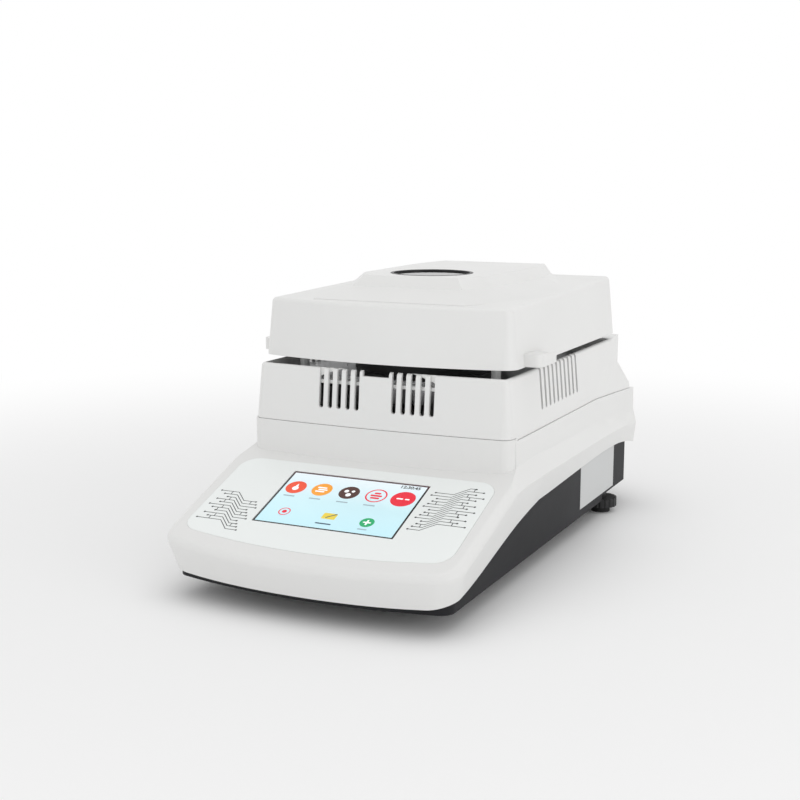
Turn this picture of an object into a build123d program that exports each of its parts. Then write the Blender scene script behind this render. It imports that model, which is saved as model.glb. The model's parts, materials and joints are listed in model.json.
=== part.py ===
from build123d import *
from math import cos, radians, sin, sqrt, tan
import os

os.makedirs("parts", exist_ok=True)

# Overall sizes, in millimetres. The object stands on Z = 0 and faces -Y.
SKIRT_HALF = 105.0
SHOULDER_HALF = 113.0
SHELL_FRONT = -208.5
SHELL_REAR = 212.0
BLOCK_HALF = 103.4
BLOCK_FRONT = -95.5
TRAY_Z = 14.0
SEAM_Z = 106.6
HOUSING_TOP = 148.0
LID_AIR = 5.2
LID_HEIGHT = 42.2
LID_RISE = 5.6
CAP_RISE = 58.2

# What stands inside or beside them
TRAY_HALF = SKIRT_HALF - 2.7
TRAY_FRONT = SHELL_FRONT + 3.1
TRAY_REAR = SHELL_REAR - 7.5
LID_Z = HOUSING_TOP + LID_AIR
LID_HALF = BLOCK_HALF - 3.3
LID_FRONT = BLOCK_FRONT + 4.0

# Walls and clearances
SHELL_WALL = 2.4
TRAY_WALL = 2.5
HOUSING_WALL = 2.6
LID_WALL = 2.6
GAP = 0.3
PIN_GAP = 0.05
SKIRT_OVERLAP = 7.0
SCREW_R = 1.5
FLOOR = TRAY_Z + TRAY_WALL

# Console
CONSOLE_TILT = 20.0
SCREEN_Y = -144.1
SCREEN_Z = 64.3
SCREEN_WIDTH = 106.6
SCREEN_DEPTH = 63.4
FRONT_LEAN = 14.8
FRONT_BOW = 480.0
CORNER_R = 19.0
CREASE_R = 6.0
SCREEN_AIR = 0.4
OPENING_WIDTH = SCREEN_WIDTH + 2 * SCREEN_AIR
OPENING_DEPTH = SCREEN_DEPTH + 2 * SCREEN_AIR
OVERLAY_DEPTH = 0.5
OVERLAY_LIFT = 0.1
BRACKET_DEPTH = 7.4
DISPLAY_X = SCREEN_WIDTH / 2 + 6.7
DISPLAY_SCREWS = [(x, y) for x in (-DISPLAY_X, DISPLAY_X) for y in (-26.0, 26.0)]

# Seam between the top shell and the chamber housing
SEAM_STEP = 1.7
SEAM_STEP_Y = -80.0
REAR_DROP_Y = 105.0
REAR_SEAM_Z = 98.5

# Chamber, lamp and window stand on one vertical axis
CHAMBER_Y = 5.0
DECK_SINK = 9.0
DECK_Z = HOUSING_TOP - DECK_SINK
DECK_THICK = 2.5
PAN_R = 46.0
PAN_AIR = 14.0
BOWL_R = PAN_R + PAN_AIR
BOWL_DEPTH = 20.0
PAN_HEIGHT = 9.0
WINDOW_R = 31.8
WINDOW_Y = 5.2

# Feet
FOOT_X = 95.0
FOOT_Y = SHELL_REAR - 62.0
FOOT_STEM_R = 4.0
WHEEL_R = 13.5
WHEEL_Z = 5.0
WHEEL_HEIGHT = 7.5
PAD_R = 8.0
FRONT_FEET = [(-70.0, -136.0), (70.0, -136.0)]
POCKET_RISE = 4.5

# Hinge
HINGE_Y = SHELL_REAR - 36.0
HINGE_Z = HOUSING_TOP + 10.0
HINGE_X = 62.0
HINGE_PIN_R = 3.0
KNUCKLE_WALL = 2.0
KNUCKLE_R = HINGE_PIN_R + KNUCKLE_WALL
KNUCKLE_WIDTH = 12.0
EAR_THICK = 3.0
LID_REAR = HINGE_Y - 12.0

# Screws and boards
CASE_FRONT_Y = -150.0
CASE_MIDDLE_Y = 20.0
CASE_REAR_Y = SHELL_REAR - 36.0
CASE_SIDE_SCREWS = [(x, y) for x in (-86.0, 86.0) for y in (CASE_FRONT_Y, CASE_MIDDLE_Y)]
CASE_SCREWS = CASE_SIDE_SCREWS + [(-64.0, CASE_REAR_Y), (64.0, CASE_REAR_Y)]
HOUSING_SCREWS = [(x, y) for x in (-82.0, 82.0) for y in (-70.0, SHELL_REAR - 92.0)]
LID_SCREWS = [(x, y) for x in (-84.0, 84.0) for y in (-70.0, LID_REAR - 22.0)]
TAB_Z = 91.0
TAB_THICK = 3.0
BOARD_Z = FLOOR + 6
BOARD_THICK = 1.6
BOARD_INSET = 5.0
BOARD_TOP = BOARD_Z + BOARD_THICK
MAIN_BOARD = (0.0, -132.0, 150.0, 84.0)
POWER_BOARD = (-46.0, TRAY_REAR - 79.5, 78.0, 80.0)

# Sockets in the tray's rear wall: x, z, cut-out width, cut-out height
SOCKET_Z = 32.0
INLET = (-64.0, SOCKET_Z, 28.0, 20.4)
SWITCH = (-22.0, SOCKET_Z, 19.4, 13.2)
SERIAL = (22.0, SOCKET_Z, 19.6, 11.0)
USB = (58.0, SOCKET_Z, 12.4, 11.2)

CONSOLE = Plane(
    origin=(0, SCREEN_Y, SCREEN_Z),
    x_dir=(1, 0, 0),
    z_dir=(0, -sin(radians(CONSOLE_TILT)), cos(radians(CONSOLE_TILT))),
)

# Each station along the side: y, skirt's lower edge, shoulder's half width, shoulder's height
SIDE_STATIONS = [
    (-232.0, 10.0, 121.5, 69.0),
    (-83.0, 46.3, 111.6, 74.0),
    (-37.0, 53.9, 112.0, 75.0),
    (SHELL_REAR - 92, 58.3, 109.8, 73.5),
    (SHELL_REAR - 44, 56.6, 108.6, 71.5),
    (SHELL_REAR, 49.5, 107.0, 67.5),
]
SKIRT_EDGE = [
    (-232.0, 16.6),
    (-209.0, 17.1),
    (-203.0, 18.2),
    (-196.0, 20.6),
    (-176.0, 24.0),
    (-130.0, 34.4),
    (-101.0, 42.0),
    (-70.0, 48.7),
    (-37.0, 53.9),
]
SKIRT_REAR_EDGE = [
    (-37.0, 53.9),
    (0.0, 54.8),
    (SHELL_REAR - 92, 58.3),
    (SHELL_REAR - 46, 57.0),
    (SHELL_REAR + 5, 48.5),
]
DECK_RISE = 13.0
DECK_HALF = 104.0
STEP_Y = -83.0


def save(name, label):
    """Label a finished piece and write it as its own file."""
    name.part.label = label
    export_step(name.part, f"parts/{label}.step")


def console_z(y):
    """Height of the console plane at a distance along Y."""
    return SCREEN_Z + (y - SCREEN_Y) * tan(radians(CONSOLE_TILT))


def slab(x, y, z, width, depth, height):
    """A box standing on z, centred on x and y."""
    with BuildPart() as box:
        with Locations((x, y, z)):
            Box(width, depth, height, align=(Align.CENTER, Align.CENTER, Align.MIN))
    return box.part


def column(points, radius, bottom, top):
    """Upright cylinders on a list of plan points."""
    with BuildPart() as posts:
        with Locations([(x, y, bottom) for x, y in points]):
            Cylinder(radius, top - bottom, align=(Align.CENTER, Align.CENTER, Align.MIN))
    return posts.part


def tube_ring(points, outer, inner, bottom, top):
    """Upright tubes on a list of plan points."""
    with BuildPart() as tubes:
        with BuildSketch(Plane.XY.offset(bottom)):
            with Locations(*points):
                Circle(outer)
                Circle(inner, mode=Mode.SUBTRACT)
        extrude(amount=top - bottom)
    return tubes.part


def cross_pin(x, y, z, radius, length):
    """A cylinder along X, centred on a point."""
    with BuildPart() as pin:
        with Locations(Location((x, y, z), (0, 90, 0))):
            Cylinder(radius, length)
    return pin.part


def screw_up(points, radius, head_r, head_h, seat, length):
    """Screws driven upwards: heads below the seat, shanks above it."""
    with BuildPart() as screws:
        add(column(points, head_r, seat - head_h, seat))
        add(column(points, radius, seat, seat + length))
        add(column(points, head_r * 0.4, seat - head_h, seat - head_h * 0.4), mode=Mode.SUBTRACT)
    return screws.part


def screw_down(points, radius, head_r, head_h, seat, length):
    """Screws driven downwards: heads above the seat, shanks below it."""
    with BuildPart() as screws:
        add(column(points, head_r, seat, seat + head_h))
        add(column(points, radius, seat - length, seat))
        add(column(points, head_r * 0.4, seat + head_h * 0.4, seat + head_h), mode=Mode.SUBTRACT)
    return screws.part


def side_prism(points, half_width):
    """A polygon in Y and Z, extruded both ways along X."""
    with BuildPart() as solid:
        with BuildSketch(Plane.YZ):
            with BuildLine():
                Polyline(*points, close=True)
            make_face()
        extrude(amount=half_width, both=True)
    return solid.part


def ruled_form(sections):
    """A ruled loft through plan polygons, each given with its height first."""
    with BuildPart() as solid:
        for z, points in sections:
            with BuildSketch(Plane.XY.offset(z)):
                with BuildLine():
                    Polyline(*points, close=True)
                make_face()
        loft(ruled=True)
    return solid.part


def turned(points, y):
    """A profile of radius and height turned about the upright axis at y."""
    with BuildPart() as solid:
        with BuildSketch(Plane.XZ.offset(-y)):
            with BuildLine():
                Polyline(*points, close=True)
            make_face()
        revolve(axis=Axis((0, y, 0), (0, 0, 1)))
    return solid.part


def bowed_outline(half, front, bow, rear, front_corner, rear_corner):
    """Plan outline with a bowed front and rounded corners."""
    sag = bow - sqrt(bow**2 - half**2)
    with BuildSketch() as outline:
        with BuildLine():
            ThreePointArc((-half, front + sag), (0, front), (half, front + sag))
            Polyline((half, front + sag), (half, rear), (-half, rear), (-half, front + sag))
        make_face()
        corners = outline.vertices().sort_by(Axis.Y)
        fillet(corners[:2], front_corner)
        fillet(outline.vertices().group_by(Axis.Y)[-1], rear_corner)
    return outline.sketch


def side_section(y, lower_z, shoulder_half, shoulder_z, inset):
    """The shell's section across X at one station."""
    drop = 12.0
    lean = (shoulder_half - SKIRT_HALF) / (shoulder_z - lower_z)
    right = [
        (SKIRT_HALF - lean * drop - inset, lower_z - drop),
        (shoulder_half - inset, shoulder_z - inset * 0.6),
        (DECK_HALF - inset, shoulder_z + DECK_RISE - inset * 0.6),
        (BLOCK_HALF - inset, SEAM_Z + 6),
    ]
    left = [(-x, z) for x, z in reversed(right)]
    with BuildSketch(Plane.XZ.offset(-y)) as section:
        with BuildLine():
            Polyline(*right, *left, close=True)
        make_face()
    return section.sketch


def flank_form(inset):
    """The shell's long sides as one ruled loft."""
    with BuildPart() as flanks:
        for y, lower_z, half, height in SIDE_STATIONS:
            station = y - inset if y == SHELL_REAR else y
            add(side_section(station, lower_z, half, height, inset))
        loft(ruled=True)
    return flanks.part


def front_form(inset):
    """Everything behind the bowed front wall, which leans forwards as it rises."""
    start = SHELL_FRONT + tan(radians(FRONT_LEAN)) * 17.1 + inset
    with BuildPart() as front:
        with BuildSketch():
            add(bowed_outline(150, start, FRONT_BOW, SHELL_REAR + 60, 5, 5))
        extrude(amount=SEAM_Z, taper=-FRONT_LEAN)
    return front.part


def console_wedge(inset):
    """What lies above the console plane, in front of the block."""
    drop = inset / cos(radians(CONSOLE_TILT))
    return side_prism(
        [
            (-260, console_z(-260) - drop),
            (STEP_Y, console_z(STEP_Y) - drop),
            (STEP_Y, 150),
            (-260, 150),
        ],
        150,
    )


def shell_form(inset):
    """The top shell's outer form, or the hollow inside it when inset is the wall."""
    with BuildPart() as form:
        add(flank_form(inset))
        add(front_form(inset), mode=Mode.INTERSECT)
        add(console_wedge(inset), mode=Mode.SUBTRACT)
        corner = form.edges().filter_by(
            lambda e: abs(e.center().X) > 80 and e.center().Y < -150 and abs(e.tangent_at(0.5).Z) > 0.8
        )
        fillet(corner, CORNER_R - inset)
        crease = form.edges().filter_by(
            lambda e: abs(e.center().X) < 108.5 and e.center().Y < -190 + inset and e.center().Z > 36 - inset
        )
        fillet(crease, CREASE_R - inset)
        with BuildSketch(Plane.XY.offset(60)):
            add(bowed_outline(BLOCK_HALF - inset, BLOCK_FRONT + inset, 1200, 40, 9 - inset, 2))
        extrude(amount=SEAM_Z + 6 - 60)
    return form.part


def skirt_cutter(raise_by):
    """Everything below the skirt's lower edge, lifted by raise_by."""
    front = [(y, z + raise_by) for y, z in SKIRT_EDGE]
    rear = [(y, z + raise_by) for y, z in SKIRT_REAR_EDGE]
    with BuildPart() as cutter:
        with BuildSketch(Plane.YZ):
            with BuildLine():
                Spline(*front)
                Spline(*rear)
                Polyline(rear[-1], (rear[-1][0], -20), (front[0][0], -20), front[0])
            make_face()
        extrude(amount=150, both=True)
    return cutter.part


def seam_top(raise_by):
    """Everything above the seam surface, lifted by raise_by."""
    return side_prism(
        [
            (-150, SEAM_Z + raise_by),
            (SEAM_STEP_Y + raise_by, SEAM_Z + raise_by),
            (SEAM_STEP_Y + raise_by, SEAM_Z - SEAM_STEP + raise_by),
            (REAR_DROP_Y, SEAM_Z - SEAM_STEP + raise_by),
            (SHELL_REAR + 10, REAR_SEAM_Z + raise_by),
            (SHELL_REAR + 10, HOUSING_TOP + 32),
            (-150, HOUSING_TOP + 32),
        ],
        160,
    )


def tray_form(inset, bottom):
    """The tray's outer form, or its hollow when inset is the wall."""
    half = TRAY_HALF - inset
    with BuildPart() as form:
        with BuildSketch(Plane.XY.offset(bottom)):
            add(bowed_outline(half, TRAY_FRONT + inset, 400, TRAY_REAR - inset, 10 - inset, 12 - inset))
        extrude(amount=70)
    return form.part


def board_corners(board):
    """Centres of a board's four fixing holes."""
    x, y, width, depth = board
    half_w = width / 2 - BOARD_INSET
    half_d = depth / 2 - BOARD_INSET
    return [(x + sx * half_w, y + sy * half_d) for sx in (-1, 1) for sy in (-1, 1)]


def console_slab(width, depth, low, high):
    """A plate parallel to the console, between two distances from its plane."""
    with BuildPart() as plate:
        with BuildSketch(CONSOLE.offset(low)):
            Rectangle(width, depth)
        extrude(amount=high - low)
    return plate.part


def console_posts(radius, low, high):
    """Round posts square to the console at the display's screws."""
    with BuildPart() as posts:
        with BuildSketch(CONSOLE.offset(low)):
            with Locations(*DISPLAY_SCREWS):
                Circle(radius)
        extrude(amount=high - low)
    return posts.part


def overlay_form(low, high, shrink):
    """The console overlay's outline as a plate, with the screen at its centre."""
    with BuildPart() as plate:
        with BuildSketch(CONSOLE.offset(low)):
            with BuildLine():
                ThreePointArc((-100.5 + shrink, -48.5), (0, -59.0 + shrink), (100.5 - shrink, -48.5))
                Polyline(
                    (100.5 - shrink, -48.5),
                    (100.5 - shrink, 43.5 - shrink),
                    (-100.5 + shrink, 43.5 - shrink),
                    (-100.5 + shrink, -48.5),
                )
            face = make_face()
            fillet(face.vertices(), 14 - shrink)
        extrude(amount=high - low)
    return plate.part


# Bottom tray
FOOT_POINTS = [(-FOOT_X, FOOT_Y), (FOOT_X, FOOT_Y)]
STANDOFFS = board_corners(MAIN_BOARD) + board_corners(POWER_BOARD)
LOAD_BASE = (0.0, -62.0, 34.0, 26.0)
POCKET_DEPTH = TRAY_REAR - FOOT_Y
POCKET_Y = (FOOT_Y + TRAY_REAR) / 2
with BuildPart() as pocket_floor:
    for side in (-1, 1):
        add(slab(side * 101, POCKET_Y, TRAY_Z, 50, POCKET_DEPTH + 46, FLOOR + POCKET_RISE - TRAY_Z))
    add(tray_form(0, TRAY_Z), mode=Mode.INTERSECT)
with BuildPart() as tray_trim:
    with Locations((0, 0, 100)):
        Box(300, 600, 200)
    add(skirt_cutter(SKIRT_OVERLAP), mode=Mode.SUBTRACT)
with BuildPart() as tray_limit:
    add(shell_form(SHELL_WALL + 0.2))
    add(skirt_cutter(-0.2))
with BuildPart() as bottom_tray:
    add(tray_form(0, TRAY_Z))
    add(tray_form(TRAY_WALL, FLOOR), mode=Mode.SUBTRACT)
    add(pocket_floor.part)
    add(column(FOOT_POINTS, FOOT_STEM_R + 2.5, FLOOR, FLOOR + 20))
    for side in (-1, 1):
        add(slab(side * 102, POCKET_Y, 0, 48, POCKET_DEPTH + 42, TRAY_Z + POCKET_RISE), mode=Mode.SUBTRACT)
    add(column(FOOT_POINTS, FOOT_STEM_R + PIN_GAP, 0, FLOOR + 30), mode=Mode.SUBTRACT)
    add(column(CASE_SCREWS, 5.0, FLOOR, FLOOR + 4))
    add(column(CASE_SCREWS, SCREW_R + 0.2, 0, FLOOR + 10), mode=Mode.SUBTRACT)
    add(column(CASE_SCREWS, 3.4, 0, TRAY_Z + 3), mode=Mode.SUBTRACT)
    add(column(FRONT_FEET, 2.2, 0, FLOOR + 1), mode=Mode.SUBTRACT)
    add(column(STANDOFFS, 3.5, FLOOR, BOARD_Z))
    add(column(STANDOFFS, 1.25, FLOOR + 0.5, BOARD_Z), mode=Mode.SUBTRACT)
    for x, z, width, height in (INLET, SWITCH, SERIAL, USB):
        with Locations((x, TRAY_REAR, z)):
            Box(width, 20, height, mode=Mode.SUBTRACT)
    add(tray_trim.part, mode=Mode.SUBTRACT)
    add(tray_limit.part, mode=Mode.INTERSECT)
save(bottom_tray, "bottom_tray")

# Top shell: hollow form with screw posts, display bosses and tabs for the housing's screws
POST_TOPS = {CASE_FRONT_Y: console_z(CASE_FRONT_Y) - 1, CASE_MIDDLE_Y: 86.0, CASE_REAR_Y: 84.0}
with BuildPart() as shell_posts:
    for x, y in CASE_SCREWS:
        add(column([(x, y)], 4.5, FLOOR + 4, POST_TOPS[y]))
        if y > -100:
            rib_x = (abs(x) + SHOULDER_HALF) / 2 - 1
            add(slab(rib_x * x / abs(x), y, 66, SHOULDER_HALF - abs(x) - 6, 3, POST_TOPS[y] - 66))
    for x, y in HOUSING_SCREWS:
        add(slab((abs(x) + 6) * x / abs(x), y, TAB_Z, 28, 12, TAB_THICK))
    add(console_posts(3.5, -BRACKET_DEPTH, -1.5))
    add(shell_form(0), mode=Mode.INTERSECT)
    add(column(CASE_SCREWS, SCREW_R + PIN_GAP, FLOOR, FLOOR + 16), mode=Mode.SUBTRACT)
    add(column(HOUSING_SCREWS, SCREW_R + 0.2, TAB_Z - 5, TAB_Z + 5), mode=Mode.SUBTRACT)
    add(console_posts(SCREW_R + PIN_GAP, -BRACKET_DEPTH, -2.4), mode=Mode.SUBTRACT)
with BuildPart() as top_shell:
    add(shell_form(0))
    add(shell_form(SHELL_WALL), mode=Mode.SUBTRACT)
    add(shell_posts.part)
    add(skirt_cutter(0), mode=Mode.SUBTRACT)
    add(seam_top(0), mode=Mode.SUBTRACT)
    add(overlay_form(-OVERLAY_DEPTH, 5, 0), mode=Mode.SUBTRACT)
    add(console_slab(OPENING_WIDTH, OPENING_DEPTH, -8, 4), mode=Mode.SUBTRACT)
save(top_shell, "top_shell")


def housing_form(inset):
    """Tapered plan form of the chamber housing."""
    with BuildPart() as form:
        with BuildSketch(Plane.XY.offset(HOUSING_Z)):
            add(
                bowed_outline(
                    BLOCK_HALF - 0.2 - inset,
                    BLOCK_FRONT - 0.1 + inset,
                    1200,
                    SHELL_REAR - 3 - inset,
                    9 - inset,
                    8 - inset,
                )
            )
        extrude(amount=HOUSING_TOP - HOUSING_Z, taper=HOUSING_TAPER)
        if inset == 0:
            fillet(form.faces().sort_by(Axis.Z)[-1].edges(), 2.5)
    return form.part


def rear_scoops(inset):
    """What is cut from the housing's rear corners and rear wall, above a sloping ledge."""
    upper_x = 94.5 - inset
    upper_y = SHELL_REAR - 21.0 - inset
    lower_x = 103.3 - inset
    lower_y = SHELL_REAR - 2.5 - inset
    start_y = SHELL_REAR - 72.0
    far = SHELL_REAR + 28.0
    with BuildPart() as scoops:
        for side in (-1, 1):
            upper = [
                (side * (100.6 - inset), start_y),
                (side * upper_x, upper_y),
                (side * upper_x, far),
                (side * 130, far),
                (side * 130, start_y),
            ]
            lower = [
                (side * lower_x, start_y - 33),
                (side * lower_x, lower_y),
                (side * lower_x, far),
                (side * 130, far),
                (side * 130, start_y - 33),
            ]
            add(ruled_form([(REAR_SEAM_Z, lower), (LEDGE_TOP, upper)]))
            add(ruled_form([(LEDGE_TOP, upper), (LEDGE_TOP + 40, upper)]))
        add(
            side_prism(
                [
                    (upper_y, HOUSING_TOP + 12),
                    (upper_y, LEDGE_TOP),
                    (lower_y, REAR_SEAM_Z),
                    (far, REAR_SEAM_Z),
                    (far, HOUSING_TOP + 12),
                ],
                130,
            )
        )
    return scoops.part


# Chamber housing: slotted cover with a sunk deck, a rear shelf and sloping rear corners
HOUSING_Z = REAR_SEAM_Z - 2
HOUSING_TAPER = 5.2
LEDGE_TOP = SEAM_Z + 17.4
SHELF_Y = HINGE_Y - 18.0
SLOT_WIDTH = 3.8
SLOT_LENGTH = HOUSING_TOP - SEAM_Z + 2.6
FRONT_SLOT_X = 14.7
FRONT_SLOT_PITCH = 7.3
FRONT_SLOTS = 5
FRONT_SLOT_Z = SEAM_Z + 12.4
SIDE_SLOT_Y = -22.8
SIDE_SLOT_PITCH = 9.0
SIDE_SLOTS = 10
SIDE_SLOT_Z = SEAM_Z + 10.9
NOTCH_WIDTH = 21.0
NOTCH_DEPTH = 4.0
POST_X = 77.7
POST_Y = -56.0
POST_R = 3.5
LEVEL_R = 8.0
with BuildPart() as housing_hollow:
    add(housing_form(HOUSING_WALL))
    add(rear_scoops(HOUSING_WALL), mode=Mode.SUBTRACT)
    add(slab(0, SHELF_Y - 200, DECK_Z - DECK_THICK, 220, 400, DECK_THICK), mode=Mode.SUBTRACT)
    add(slab(0, SHELF_Y + 1.2, DECK_Z - DECK_THICK, 220, 2.4, 20), mode=Mode.SUBTRACT)
    add(slab(0, SHELF_Y + 50, HOUSING_TOP - HOUSING_WALL, 220, 100, 20), mode=Mode.SUBTRACT)
with BuildPart() as chamber_housing:
    add(housing_form(0))
    add(rear_scoops(0), mode=Mode.SUBTRACT)
    add(housing_hollow.part, mode=Mode.SUBTRACT)
    add(seam_top(GAP), mode=Mode.INTERSECT)
    with BuildSketch(Plane.XZ.offset(-BLOCK_FRONT - 7.5)):
        for side in (-1, 1):
            for i in range(FRONT_SLOTS):
                slot_x = side * (FRONT_SLOT_X + i * FRONT_SLOT_PITCH)
                with Locations((slot_x, FRONT_SLOT_Z + SLOT_LENGTH / 2)):
                    SlotOverall(SLOT_LENGTH, SLOT_WIDTH, rotation=90)
    extrude(amount=30, mode=Mode.SUBTRACT)
    for side in (-1, 1):
        with BuildSketch(Plane.YZ.offset(side * (BLOCK_HALF - 7.7))):
            for i in range(SIDE_SLOTS):
                with Locations((SIDE_SLOT_Y + i * SIDE_SLOT_PITCH, SIDE_SLOT_Z + SLOT_LENGTH / 2)):
                    SlotOverall(SLOT_LENGTH, SLOT_WIDTH, rotation=90)
        extrude(amount=side * 30, mode=Mode.SUBTRACT)
    add(slab(0, BLOCK_FRONT + 4, HOUSING_TOP - NOTCH_DEPTH, NOTCH_WIDTH, 14, 10), mode=Mode.SUBTRACT)
    add(column([(0, CHAMBER_Y)], BOWL_R + GAP, DECK_Z - 10, DECK_Z + 10), mode=Mode.SUBTRACT)
    add(tube_ring(HOUSING_SCREWS, 4.0, SCREW_R + PIN_GAP, TAB_Z + TAB_THICK, DECK_Z - DECK_THICK))
    add(column([(0, HINGE_Y)], LEVEL_R + PIN_GAP, HOUSING_TOP - 10, HOUSING_TOP + 10), mode=Mode.SUBTRACT)
save(chamber_housing, "chamber_housing")

# Rest posts that hold the closed lid off the housing
BASE_PLATE_Z = LID_Z + 2.2
BASE_PLATE_THICK = 2.0
with BuildPart() as rest_posts:
    add(column([(-POST_X, POST_Y), (POST_X, POST_Y)], POST_R, DECK_Z, BASE_PLATE_Z - GAP))
    fillet(rest_posts.edges().group_by(Axis.Z)[-1], 1.0)
save(rest_posts, "rest_posts")

# Shield plate on the deck, bowl and draft ring
SHIELD_THICK = 1.2
SHIELD_FRONT = -75.0
SHIELD_REAR = SHELF_Y - 33.0
BOWL_WALL = 1.0
BOWL_FLANGE = 5.0
BOWL_FLOOR = DECK_Z - BOWL_DEPTH
POST_HOLE_R = 9.0
with BuildPart() as shield_plate:
    with BuildSketch(Plane.XY.offset(DECK_Z)):
        with Locations((0, (SHIELD_FRONT + SHIELD_REAR) / 2)):
            RectangleRounded(184, SHIELD_REAR - SHIELD_FRONT, 10)
        with Locations((0, CHAMBER_Y)):
            Circle(BOWL_R + BOWL_FLANGE + GAP, mode=Mode.SUBTRACT)
        with Locations((-POST_X, POST_Y), (POST_X, POST_Y)):
            Circle(POST_R + GAP, mode=Mode.SUBTRACT)
    extrude(amount=SHIELD_THICK)
save(shield_plate, "shield_plate")

with BuildPart() as chamber_bowl:
    add(column([(0, CHAMBER_Y)], BOWL_R, BOWL_FLOOR, DECK_Z))
    add(column([(0, CHAMBER_Y)], BOWL_R + BOWL_FLANGE, DECK_Z, DECK_Z + BOWL_WALL))
    add(column([(0, CHAMBER_Y)], BOWL_R - BOWL_WALL, BOWL_FLOOR + BOWL_WALL, DECK_Z + 5), mode=Mode.SUBTRACT)
    add(column([(0, CHAMBER_Y)], POST_HOLE_R, BOWL_FLOOR - 5, DECK_Z), mode=Mode.SUBTRACT)
save(chamber_bowl, "chamber_bowl")

RING_OUTER = BOWL_R - BOWL_WALL - GAP
RING_WALL = 1.5
RING_TOP = DECK_Z + 10.5
with BuildPart() as draft_ring:
    add(tube_ring([(0, CHAMBER_Y)], RING_OUTER, RING_OUTER - RING_WALL, BOWL_FLOOR + BOWL_WALL, RING_TOP))
save(draft_ring, "draft_ring")

# Weighing system: base block, load cell, post, pan support and sample pan
CELL_Z = FLOOR + 10
CELL = (22.0, 110.0, 22.0)
CELL_Y = -20.0
CELL_END = CELL_Y + CELL[1] / 2
POST_TOP = DECK_Z - 15.0
SUPPORT_THICK = 1.2
SUPPORT_ARM = 2 * PAN_R - 4.0
POST_TIP_R = 2.5
HUB_R = POST_TIP_R + 3.5
TIP_HEIGHT = 4.0
PAN_Z = POST_TOP + SUPPORT_THICK + TIP_HEIGHT + GAP
PAN_WALL = 0.6
CELL_BOLTS = [(0, LOAD_BASE[1] - 6), (0, LOAD_BASE[1] + 6)]
with BuildPart() as load_cell_base:
    add(slab(0, LOAD_BASE[1], FLOOR, LOAD_BASE[2], LOAD_BASE[3], CELL_Z - FLOOR))
save(load_cell_base, "load_cell_base")

with BuildPart() as load_cell:
    add(slab(0, CELL_Y, CELL_Z, *CELL))
    with BuildSketch(Plane.YZ.offset(-CELL[0])):
        with Locations((CELL_Y - 14, CELL_Z + CELL[2] / 2), (CELL_Y + 14, CELL_Z + CELL[2] / 2)):
            Circle(7)
        with Locations((CELL_Y, CELL_Z + CELL[2] / 2)):
            Rectangle(28, 8)
    extrude(amount=2 * CELL[0], mode=Mode.SUBTRACT)
save(load_cell, "load_cell")

with BuildPart() as weighing_post:
    add(slab(0, (CHAMBER_Y - 10 + CELL_END) / 2, CELL_Z + CELL[2], 20, CELL_END - CHAMBER_Y + 8, 6))
    add(column([(0, CHAMBER_Y)], 4.0, CELL_Z + CELL[2], POST_TOP - 6))
    add(column([(0, CHAMBER_Y)], POST_TIP_R, POST_TOP - 6, POST_TOP + SUPPORT_THICK - GAP))
save(weighing_post, "weighing_post")

with BuildPart() as pan_support:
    add(column([(0, CHAMBER_Y)], HUB_R, POST_TOP - 6 + GAP, POST_TOP + SUPPORT_THICK + 1))
    add(slab(0, CHAMBER_Y, POST_TOP, SUPPORT_ARM, 8, SUPPORT_THICK))
    add(slab(0, CHAMBER_Y, POST_TOP, 8, SUPPORT_ARM, SUPPORT_THICK))
    for side in (-1, 1):
        reach = side * (SUPPORT_ARM / 2 - 3)
        add(column([(reach, CHAMBER_Y), (0, CHAMBER_Y + reach)], 2.5, POST_TOP + SUPPORT_THICK, PAN_Z - GAP))
    hub_top = POST_TOP + SUPPORT_THICK
    add(column([(0, CHAMBER_Y)], POST_TIP_R + PIN_GAP, POST_TOP - 10, hub_top), mode=Mode.SUBTRACT)
save(pan_support, "pan_support")

with BuildPart() as sample_pan:
    add(
        turned(
            [
                (0, PAN_Z),
                (PAN_R - 3, PAN_Z),
                (PAN_R, PAN_Z + 3),
                (PAN_R, PAN_Z + PAN_HEIGHT - PAN_WALL),
                (PAN_R + 3, PAN_Z + PAN_HEIGHT - PAN_WALL),
                (PAN_R + 3, PAN_Z + PAN_HEIGHT),
                (PAN_R - PAN_WALL, PAN_Z + PAN_HEIGHT),
                (PAN_R - PAN_WALL, PAN_Z + 3 + PAN_WALL / 2),
                (PAN_R - 3 - PAN_WALL / 2, PAN_Z + PAN_WALL),
                (0, PAN_Z + PAN_WALL),
            ],
            CHAMBER_Y,
        )
    )
save(sample_pan, "sample_pan")

# Console overlay and the display behind it
GLASS_LOW = -2.2
PANEL_LOW = -5.6
with BuildPart() as console_overlay:
    add(overlay_form(-OVERLAY_DEPTH, OVERLAY_LIFT, 0.2))
    add(console_slab(OPENING_WIDTH, OPENING_DEPTH, -5, 4), mode=Mode.SUBTRACT)
save(console_overlay, "console_overlay")

with BuildPart() as touch_glass:
    add(console_slab(SCREEN_WIDTH, SCREEN_DEPTH, GLASS_LOW, -0.2))
save(touch_glass, "touch_glass")

with BuildPart() as display_panel:
    add(console_slab(SCREEN_WIDTH - 1, SCREEN_DEPTH - 1, PANEL_LOW, GLASS_LOW))
save(display_panel, "display_panel")

with BuildPart() as display_board:
    add(console_slab(SCREEN_WIDTH - 4, SCREEN_DEPTH - 6, -BRACKET_DEPTH, PANEL_LOW))
save(display_board, "display_board")

with BuildPart() as display_bracket:
    add(console_slab(2 * DISPLAY_X + 10, 62, -BRACKET_DEPTH - 1.2, -BRACKET_DEPTH))
    add(console_slab(60, 30, -BRACKET_DEPTH - 3, 0), mode=Mode.SUBTRACT)
    add(console_posts(SCREW_R + 0.2, -BRACKET_DEPTH - 3, 0), mode=Mode.SUBTRACT)
save(display_bracket, "display_bracket")

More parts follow.
